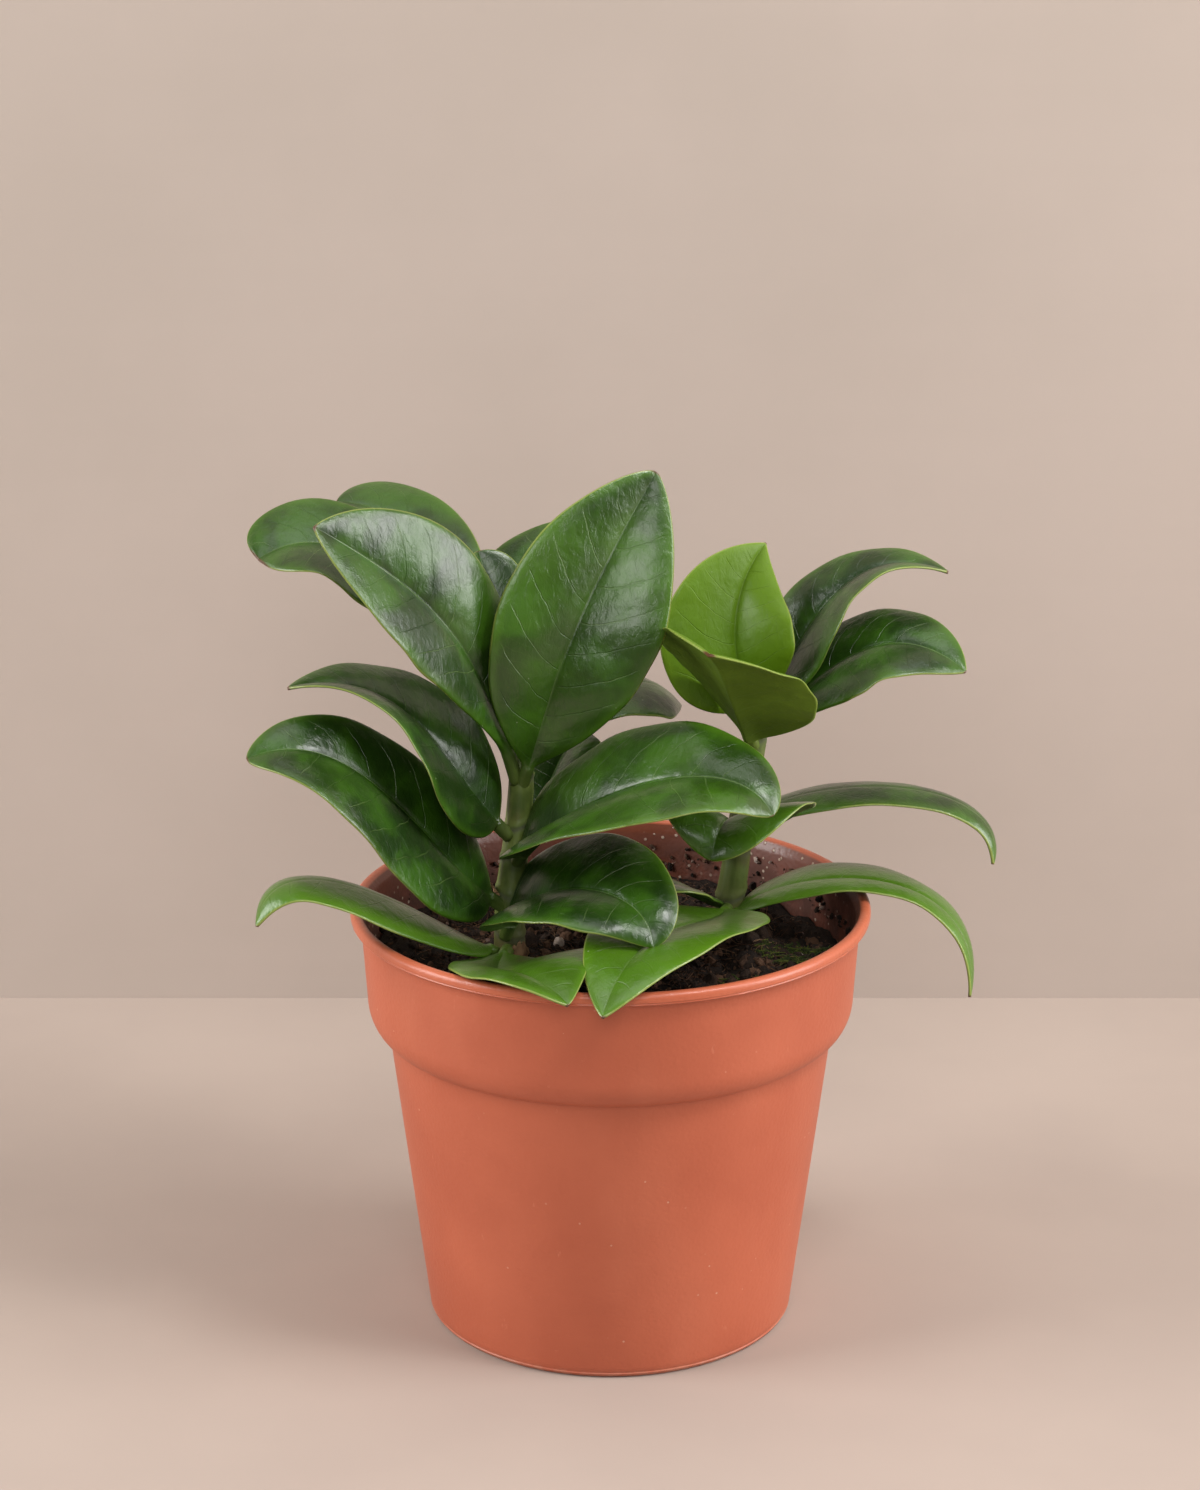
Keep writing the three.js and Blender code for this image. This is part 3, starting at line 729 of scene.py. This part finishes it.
def drain_tree():
    """Cuts a circle of round drain holes through the floor of the pot."""
    group, tree, given, out = nodes_group(
        "Drain holes",
        {"Count": ("Int", 8), "Circle": ("Float", 0.03), "Radius": ("Float", 0.004), "Depth": ("Float", 0.01),
            "Plastic": ("Material", None)},
    )
    circle = tree.add("GeometryNodeMeshCircle", None, {"Vertices": given.outputs["Count"],
        "Radius": given.outputs["Circle"]})
    drill = tree.add(
        "GeometryNodeMeshCylinder", None, {"Vertices": 40, "Radius": given.outputs["Radius"],
            "Depth": given.outputs["Depth"]}
    )
    turned = tree.add("GeometryNodeTransform", None, {"Geometry": circle.outputs[0],
        "Rotation": (0, 0, math.pi / DRAIN_HOLES)})
    drills = tree.add("GeometryNodeInstanceOnPoints", None, {"Points": turned.outputs[0],
        "Instance": drill.outputs["Mesh"]})
    solid = tree.add("GeometryNodeRealizeInstances", None, [drills.outputs[0]])
    cut = tree.add("GeometryNodeMeshBoolean", dict(operation="DIFFERENCE", solver="EXACT"),
        {"Mesh 1": given.outputs["Geometry"]})
    tree.tree.links.new(solid.outputs[0], cut.inputs["Mesh 2"])
    named = tree.add("GeometryNodeSetMaterial", None, {"Geometry": cut.outputs[0],
        "Material": given.outputs["Plastic"]})
    tree.tree.links.new(named.outputs[0], out.inputs[0])
    return group


def make_pot(material):
    outside, inside = pot_profile()
    profile = np.array(outside + inside, float)
    dice = random.Random(4)
    sides = 256
    angle = np.linspace(0, 2 * np.pi, sides, endpoint=False)
    warp = 0.12 * np.sin(2 * angle + 1.0) + 0.06 * np.sin(5 * angle + 2.0)
    flash = np.zeros(sides)
    for _ in range(9):
        spot = dice.uniform(0, 2 * math.pi)
        near = np.angle(np.exp(1j * (angle - spot)))
        flash += dice.uniform(0.12, 0.3) * np.exp(-((near / 0.012) ** 2))
    points = [(0, 0, 0)]
    for r, z in profile[1:-1]:
        parting = math.exp(-(((z - LIP_FOOT - 0.4) / 0.3) ** 2)) if r > LIP_RADIUS - 0.7 else 0
        ring = r + warp * min(z / 60, 1) * 0.6 - 0.06 * (r > LIP_RADIUS - 0.5) + flash * parting - 0.1 * parting
        for k in range(sides):
            points.append((ring[k] * math.cos(angle[k]), ring[k] * math.sin(angle[k]), z))
    points.append((0, 0, FLOOR))
    faces = [(0, 1 + (k + 1) % sides, 1 + k) for k in range(sides)]
    rows = len(profile) - 2
    for i in range(rows - 1):
        for k in range(sides):
            a, b = 1 + i * sides + k, 1 + i * sides + (k + 1) % sides
            faces.append((a, b, b + sides, a + sides))
    last = 1 + (rows - 1) * sides
    faces += [(last + k, last + (k + 1) % sides, len(points) - 1) for k in range(sides)]
    blank = make_piece("pot_blank", points, faces, material)
    holes = {"Count": DRAIN_HOLES, "Circle": DRAIN_CIRCLE * MM, "Radius": DRAIN_RADIUS * MM, "Depth": FLOOR * 4 * MM}
    pot = grown(blank, drain_tree(), {**holes, "Plastic": material}, "nursery_pot")
    pot.data.set_sharp_from_angle(angle=math.radians(38))
    places = np.array([v.co for v in pot.data.vertices]) / MM
    reach = np.hypot(places[:, 0], places[:, 1])
    wall = np.array([p for p in outside if p[0] > BODY_FOOT_RADIUS - 2])
    inner = (reach < np.interp(places[:, 2], wall[:, 1], wall[:, 0]) - INNER_WALL_OFFSET) & (places[:, 2] > 1)
    pot.data.attributes.new("inner_wall", "FLOAT", "POINT").data.foreach_set("value", inner.astype(np.float32))
    return pot


# ---- soil ----
def soil_height(x, y):
    """Height of the soil surface, in millimetres."""
    r = math.hypot(x, y)
    crown = SOIL_EDGE + (SOIL_CROWN - SOIL_EDGE) * max(0.0, 1 - (r / 60) ** 2)
    mounds = noise.noise(Vector((x / 17, y / 17, 0.3))) * 3.4
    lumps = noise.noise(Vector((x / 7, y / 7, 2.7))) * 2.0
    bits = noise.fractal(Vector((x / 2.8, y / 2.8, 5.1)), 1.0, 2.0, 4) * 0.9
    return min(crown + mounds + lumps + bits - 0.6, SOIL_CROWN + 2.2)


def make_soil(material):
    sides, rows = 200, 84
    top_radius = BAND_FOOT_RADIUS + 0.55 - WALL - 0.25
    points, faces = [(0, 0, soil_height(0, 0))], []
    for i in range(1, rows + 1):
        r = top_radius * (i / rows)
        for k in range(sides):
            t = TURN * k / sides
            x, y = r * math.cos(t), r * math.sin(t)
            points.append((x, y, soil_height(x, y)))
    lower = [(BAND_FOOT_RADIUS - WALL - 0.25, 88), *[(r - 0.25, z) for r, z in shoulder(WALL, 1.3, 5)[::-1]]]
    lower += [(BODY_TOP_RADIUS - WALL - 0.25, 77.5), (BODY_FOOT_RADIUS - WALL + 0.1, 4),
        (BODY_FOOT_RADIUS - WALL - 1.2, 2.2)]
    for r, z in lower:
        points += [(r * math.cos(TURN * k / sides), r * math.sin(TURN * k / sides), z) for k in range(sides)]
    points.append((0, 0, 2.2))
    faces += [(0, 1 + k, 1 + (k + 1) % sides) for k in range(sides)]
    total = rows + len(lower)
    for i in range(total - 1):
        for k in range(sides):
            a, b = 1 + i * sides + k, 1 + i * sides + (k + 1) % sides
            faces.append((a, a + sides, b + sides, b))
    last = 1 + (total - 1) * sides
    faces += [(last + (k + 1) % sides, last + k, len(points) - 1) for k in range(sides)]
    return make_piece("potting_mix", points, faces, material, {"tone": [0.0] * len(points)})


def soil_bed(name, material, radius, centre=(0, 0)):
    """A round sheet over the soil to scatter on."""
    sides, rows = 72, 24
    points, faces = [], []
    for i in range(rows + 1):
        r = 1 + (radius - 1) * i / rows
        for k in range(sides):
            angle = TURN * k / sides
            x, y = centre[0] + r * math.cos(angle), centre[1] + r * math.sin(angle)
            points.append((x, y, soil_height(x, y)))
    for i in range(rows):
        for k in range(sides):
            a, b = i * sides + k, i * sides + (k + 1) % sides
            faces.append((a, a + sides, b + sides, b))
    return make_piece(name, points, faces, material)


def wall_bed(name, material, start, sweep, height):
    """A strip up the inside of the band, above the soil, to scatter on."""
    columns, rows = 48, 12
    points, faces = [], []
    for i in range(rows + 1):
        t = i / rows
        for k in range(columns + 1):
            angle = start + sweep * k / columns
            r, z = 60.0 + 0.6 * t, 95 + height * t * t * (0.55 + 0.45 * math.sin(math.pi * k / columns))
            points.append((r * math.cos(angle), r * math.sin(angle), z))
    for i in range(rows):
        for k in range(columns):
            a = i * (columns + 1) + k
            faces.append((a, a + 1, a + columns + 2, a + columns + 1))
    return make_piece(name, points, faces, material)


def crumb_tree():
    """Irregular crumbs of mix scattered on a surface, each with its own size, turn and tone."""
    group, tree, given, out = nodes_group(
        "Soil crumbs",
        {
            "Density": ("Float", 100.0), "Smallest": ("Float", 0.0003), "Largest": ("Float", 0.001),
            "Roughness": ("Float", 0.0011),
            "Detail": ("Int", 1), "Seed": ("Int", 1), "Earth": ("Material", None),
        },
    )
    spots = tree.add(
        "GeometryNodeDistributePointsOnFaces", dict(distribute_method="RANDOM"),
        {"Mesh": given.outputs["Geometry"], "Density": given.outputs["Density"], "Seed": given.outputs["Seed"]},
    )
    lump = tree.add("GeometryNodeMeshIcoSphere", None, {"Radius": 1.0, "Subdivisions": given.outputs["Detail"]})
    power = Value(tree, tree.add("FunctionNodeRandomValue", dict(data_type="FLOAT")).outputs[1]) ** 2.6
    small = Value(tree, given.outputs["Smallest"])
    large = Value(tree, given.outputs["Largest"])
    radius = small + power * (large - small)
    stretch = tree.add("FunctionNodeRandomValue", dict(data_type="FLOAT_VECTOR"),
        {"Min": (0.55, 0.55, 0.4), "Max": (1.5, 1.1, 0.95), "Seed": 7})
    turn = tree.add("FunctionNodeRandomValue", dict(data_type="FLOAT_VECTOR"),
        {"Min": (0, 0, 0), "Max": (6.28, 6.28, 6.28), "Seed": 3})
    sized = tree.add("ShaderNodeVectorMath", dict(operation="SCALE"), {"Vector": stretch.outputs[0], "Scale": radius})
    placed = tree.add(
        "GeometryNodeInstanceOnPoints", None,
        {"Points": spots.outputs["Points"], "Instance": lump.outputs["Mesh"], "Rotation": turn.outputs[0],
            "Scale": sized.outputs[0]},
    )
    shade = tree.add("FunctionNodeRandomValue", dict(data_type="FLOAT"), {"Seed": 11})
    toned = tree.add(
        "GeometryNodeStoreNamedAttribute", dict(data_type="FLOAT", domain="INSTANCE"),
        {"Geometry": placed.outputs[0], "Name": "tone", "Value": shade.outputs[1]},
    )
    real = tree.add("GeometryNodeRealizeInstances", None, [toned.outputs[0]])
    place = tree.add("GeometryNodeInputPosition")
    rough = tree.add("ShaderNodeTexNoise", None, {"Vector": place.outputs[0], "Scale": 900.0, "Detail": 2.0})
    centred = tree.add("ShaderNodeVectorMath", dict(operation="SUBTRACT"), [rough.outputs["Color"], (0.5, 0.5, 0.5)])
    push = tree.add("ShaderNodeVectorMath", dict(operation="SCALE"),
        {"Vector": centred.outputs[0], "Scale": given.outputs["Roughness"]})
    knobbly = tree.add("GeometryNodeSetPosition", None, {"Geometry": real.outputs[0], "Offset": push.outputs[0]})
    named = tree.add("GeometryNodeSetMaterial", None, {"Geometry": knobbly.outputs[0],
        "Material": given.outputs["Earth"]})
    tree.tree.links.new(named.outputs[0], out.inputs[0])
    return group


def fibre_tree():
    """Thin bent coir fibres and fine roots lying on and out of the soil."""
    group, tree, given, out = nodes_group(
        "Coir fibres",
        {
            "Density": ("Float", 20.0), "Length": ("Float", 0.006), "Thickness": ("Float", 0.0001),
            "Seed": ("Int", 2),
            "Fibre": ("Material", None),
        },
    )
    spots = tree.add(
        "GeometryNodeDistributePointsOnFaces", dict(distribute_method="RANDOM"),
        {"Mesh": given.outputs["Geometry"], "Density": given.outputs["Density"], "Seed": given.outputs["Seed"]},
    )
    strand = tree.add("GeometryNodeCurvePrimitiveLine", None, {"Start": (-0.5, 0, 0), "End": (0.5, 0, 0)})
    bent = tree.add("GeometryNodeResampleCurve", None, {"Curve": strand.outputs[0], "Count": 9})
    long = tree.add("FunctionNodeRandomValue", dict(data_type="FLOAT"), {"Seed": 5})
    scale = (Value(tree, long.outputs[1]) * 1.3 + 0.35) * Value(tree, given.outputs["Length"])
    turn = tree.add("FunctionNodeRandomValue", dict(data_type="FLOAT_VECTOR"),
        {"Min": (-0.5, -0.45, 0), "Max": (0.5, 0.45, 6.28), "Seed": 9})
    placed = tree.add(
        "GeometryNodeInstanceOnPoints", None,
        {"Points": spots.outputs["Points"], "Instance": bent.outputs[0], "Rotation": turn.outputs[0], "Scale": scale},
    )
    shade = tree.add("FunctionNodeRandomValue", dict(data_type="FLOAT"), {"Seed": 13})
    toned = tree.add(
        "GeometryNodeStoreNamedAttribute", dict(data_type="FLOAT", domain="INSTANCE"),
        {"Geometry": placed.outputs[0], "Name": "tone", "Value": shade.outputs[1]},
    )
    real = tree.add("GeometryNodeRealizeInstances", None, [toned.outputs[0]])
    place = tree.add("GeometryNodeInputPosition")
    drift = tree.add("ShaderNodeTexNoise", None, {"Vector": place.outputs[0], "Scale": 160.0, "Detail": 1.0})
    centred = tree.add("ShaderNodeVectorMath", dict(operation="SUBTRACT"), [drift.outputs["Color"], (0.5, 0.5, 0.42)])
    push = tree.add("ShaderNodeVectorMath", dict(operation="MULTIPLY"), [centred.outputs[0], (0.009, 0.009, 0.0035)])
    curled = tree.add("GeometryNodeSetPosition", None, {"Geometry": real.outputs[0], "Offset": push.outputs[0]})
    section = tree.add("GeometryNodeCurvePrimitiveCircle", None,
        {"Resolution": 4, "Radius": given.outputs["Thickness"]})
    tube = tree.add(
        "GeometryNodeCurveToMesh", None, {"Curve": curled.outputs[0], "Profile Curve": section.outputs[0],
            "Fill Caps": True}
    )
    whole = tree.add("GeometryNodeRealizeInstances", None, [tube.outputs[0]])
    named = tree.add("GeometryNodeSetMaterial", None, {"Geometry": whole.outputs[0],
        "Material": given.outputs["Fibre"]})
    tree.tree.links.new(named.outputs[0], out.inputs[0])
    return group


# ---- camera, light and ground ----
def set_camera():
    data = bpy.data.cameras.new("camera")
    data.sensor_width = 36
    data.lens = 84.35
    data.clip_start, data.clip_end = 0.01, 20
    camera = bpy.data.objects.new("camera", data)
    camera.location = (-0.0026, -0.821, 0.409)
    camera.rotation_euler = (math.radians(90 - 17.55), 0, 0)
    bpy.context.scene.collection.objects.link(camera)
    bpy.context.scene.camera = camera
    bpy.context.scene.view_settings.view_transform = "Standard"


def set_light(name, place, aim, size, power, colour):
    data = bpy.data.lights.new(name, "AREA")
    data.shape = "RECTANGLE"
    data.size, data.size_y = size
    data.energy = power
    data.color = colour
    light = bpy.data.objects.new(name, data)
    light.location = place
    light.rotation_mode = "QUATERNION"
    light.rotation_quaternion = (Vector(aim) - Vector(place)).to_track_quat("-Z", "Y")
    bpy.context.scene.collection.objects.link(light)


def set_stage():
    """A pale table top that meets a pale wall behind, and soft studio light."""
    table = backdrop_finish("pale_table", (0.44, 0.36, 0.31), (0.41, 0.335, 0.29))
    wall = one_sided(backdrop_finish("pale_wall", (0.435, 0.365, 0.32), (0.41, 0.345, 0.3)))
    far, back = STAGE_REACH, WALL_BEHIND
    quad = [(0, 1, 2, 3)]
    floor = make_piece("floor", [(-far, -far, 0), (far, -far, 0), (far, back, 0), (-far, back, 0)], quad, table)
    screen = make_piece("screen", [(-far, back, 0), (far, back, 0), (far, back, far), (-far, back, far)], quad, wall)
    target = (0, 0, 0.11)
    set_light("left_softbox", (-0.95, -0.22, 0.5), target, (0.5, 0.75), 10.8, (1.0, 0.99, 0.98))
    set_light("right_softbox", (0.95, -0.2, 0.48), target, (0.5, 0.75), 10.2, (1.0, 0.99, 0.98))
    set_light("front_softbox", (-0.02, -1.05, 0.72), target, (0.55, 0.4), 4.2, (1.0, 0.99, 0.98))
    set_light("window", (0.42, -0.34, 0.85), (0, 0, 0.18), (0.2, 0.24), 3.4, (1.0, 0.99, 0.98))
    set_light("overhead", (0.0, 0.05, 1.1), target, (0.8, 0.6), 3.0, (1.0, 0.99, 0.98))
    world = bpy.data.worlds.new("studio")
    world.use_nodes = True
    world.node_tree.nodes["Background"].inputs["Color"].default_value = (0.9, 0.87, 0.84, 1)
    world.node_tree.nodes["Background"].inputs["Strength"].default_value = 0.05
    bpy.context.scene.world = world


# ---- the whole plant ----
def grow_leaves(side, leaves, finishes):
    for i, leaf in enumerate(leaves, 1):
        points, faces, values = leaf_mesh(leaf, seed=i + 40 * (side == "right"))
        young = bool(leaf.get("young"))
        blade = make_piece(f"{side}_blade_{i:02d}", points, faces, finishes[young], values)
        settle(blade, "young_leaf" if young else "leaf", f"leaf_{side}_{i:02d}")


def main():
    set_camera()
    set_stage()
    mature = leaf_finish("mature_leaf", 1.0, (0.009, 0.03, 0.002), (0.03, 0.092, 0.004), (0.085, 0.2, 0.008),
                         (0.04, 0.085, 0.01), (0.12, 0.2, 0.05))
    tender = leaf_finish("tender_leaf", 0.45, (0.022, 0.07, 0.001), (0.045, 0.12, 0.002), (0.12, 0.22, 0.006),
                         (0.1, 0.16, 0.014), (0.17, 0.27, 0.05))
    grow_leaves("left", LEFT_LEAVES, (mature, tender))
    grow_leaves("right", RIGHT_LEAVES, (mature, tender))

    stem_green = stem_finish()
    for i, (name, stem) in enumerate(STEMS.items()):
        points, faces, values = stem_mesh(stem["points"], stem["radii"], stem["nodes"], seed=i)
        settle(make_piece(f"{name}_skin", points, faces, stem_green, values), "stem", name)
    dry = husk_finish()
    husks = [((-25, -8), 3.8, 96.0, -1.0, 2.2, 6.0), ((-25, -8), 3.4, 114.0, -2.8, 1.2, 2.6),
             ((30.5, 17), 3.9, 95.5, -2.4, 2.2, 3.5)]
    for i, (centre, radius, height, start, sweep, length) in enumerate(husks):
        points, faces = husk_mesh(centre, radius, height, start, sweep, length, seed=i)
        settle(make_piece(f"husk_{i + 1}", points, faces, dry), "stem")

    settle(make_pot(pot_finish()), "pot", "pot")
    earth = soil_finish("peat", (0.006, 0.0035, 0.0022), (0.022, 0.012, 0.007), (0.04, 0.022, 0.012), 300)
    crumb = soil_finish("crumb", (0.010, 0.0055, 0.0032), (0.035, 0.018, 0.010), (0.11, 0.055, 0.03), 500)
    fibre = soil_finish("coir", (0.05, 0.02, 0.009), (0.13, 0.055, 0.025), (0.26, 0.15, 0.08), 700)
    settle(make_soil(earth), "soil", "soil")
    crumbs = crumb_tree()
    fibres = fibre_tree()
    pale = soil_finish("pale_grit", (0.22, 0.13, 0.1), (0.4, 0.29, 0.24), (0.5, 0.4, 0.34), 600)
    moss = soil_finish("moss", (0.012, 0.022, 0.002), (0.04, 0.06, 0.005), (0.1, 0.12, 0.015), 500)
    back_right = (0.1, 1.6, 9)
    all_round = (0, 2 * math.pi, 6)
    top_batches = [
        ("fine_crumbs", 57.5, (0, 0), crumbs,
         {"Density": 560000.0, "Smallest": 0.00022, "Largest": 0.0009, "Detail": 1, "Seed": 1, "Earth": crumb}),
        ("clods", 56, (0, 0), crumbs,
         {"Density": 130000.0, "Smallest": 0.0005, "Largest": 0.0021, "Detail": 2, "Seed": 4, "Earth": crumb}),
        ("bark_bits", 54, (0, 0), crumbs,
         {"Density": 11000.0, "Smallest": 0.001, "Largest": 0.0034, "Detail": 2, "Seed": 5, "Earth": crumb}),
        ("perlite", 54, (0, 0), crumbs,
         {"Density": 5200.0, "Smallest": 0.0003, "Largest": 0.0019, "Detail": 2, "Seed": 6, "Earth": pale}),
        ("coir_fibres", 49, (0, 0), fibres,
         {"Density": 150000.0, "Length": 0.0055, "Thickness": 0.00008, "Seed": 2, "Fibre": fibre}),
        ("fine_roots", 44, (0, 0), fibres,
         {"Density": 3500.0, "Length": 0.013, "Thickness": 0.00014, "Seed": 21, "Fibre": fibre}),
        ("moss_right", 9, (47, -2), fibres,
         {"Density": 1500000.0, "Length": 0.0024, "Thickness": 0.00016, "Seed": 8, "Fibre": moss}),
        ("moss_front", 7, (33, -24), fibres,
         {"Density": 900000.0, "Length": 0.0022, "Thickness": 0.00015, "Seed": 12, "Fibre": moss}),
    ]
    for name, radius, centre, group, settings in top_batches:
        settle(grown(soil_bed(f"{name}_bed", earth, radius, centre), group, settings, name), "soil")
    wall_batches = [
        ("wall_crumbs", all_round, {"Density": 60000.0, "Smallest": 0.00015, "Largest": 0.0009, "Seed": 9,
            "Earth": crumb}),
        ("wall_grit", back_right, {"Density": 45000.0, "Smallest": 0.00015, "Largest": 0.001, "Seed": 3,
            "Earth": pale}),
        ("wall_clods", back_right, {"Density": 60000.0, "Smallest": 0.0002, "Largest": 0.0014, "Seed": 7,
            "Earth": crumb}),
    ]
    for name, (start, sweep, height), settings in wall_batches:
        settle(grown(wall_bed(f"{name}_bed", earth, start, sweep, height), crumbs, settings, name), "soil")


main()
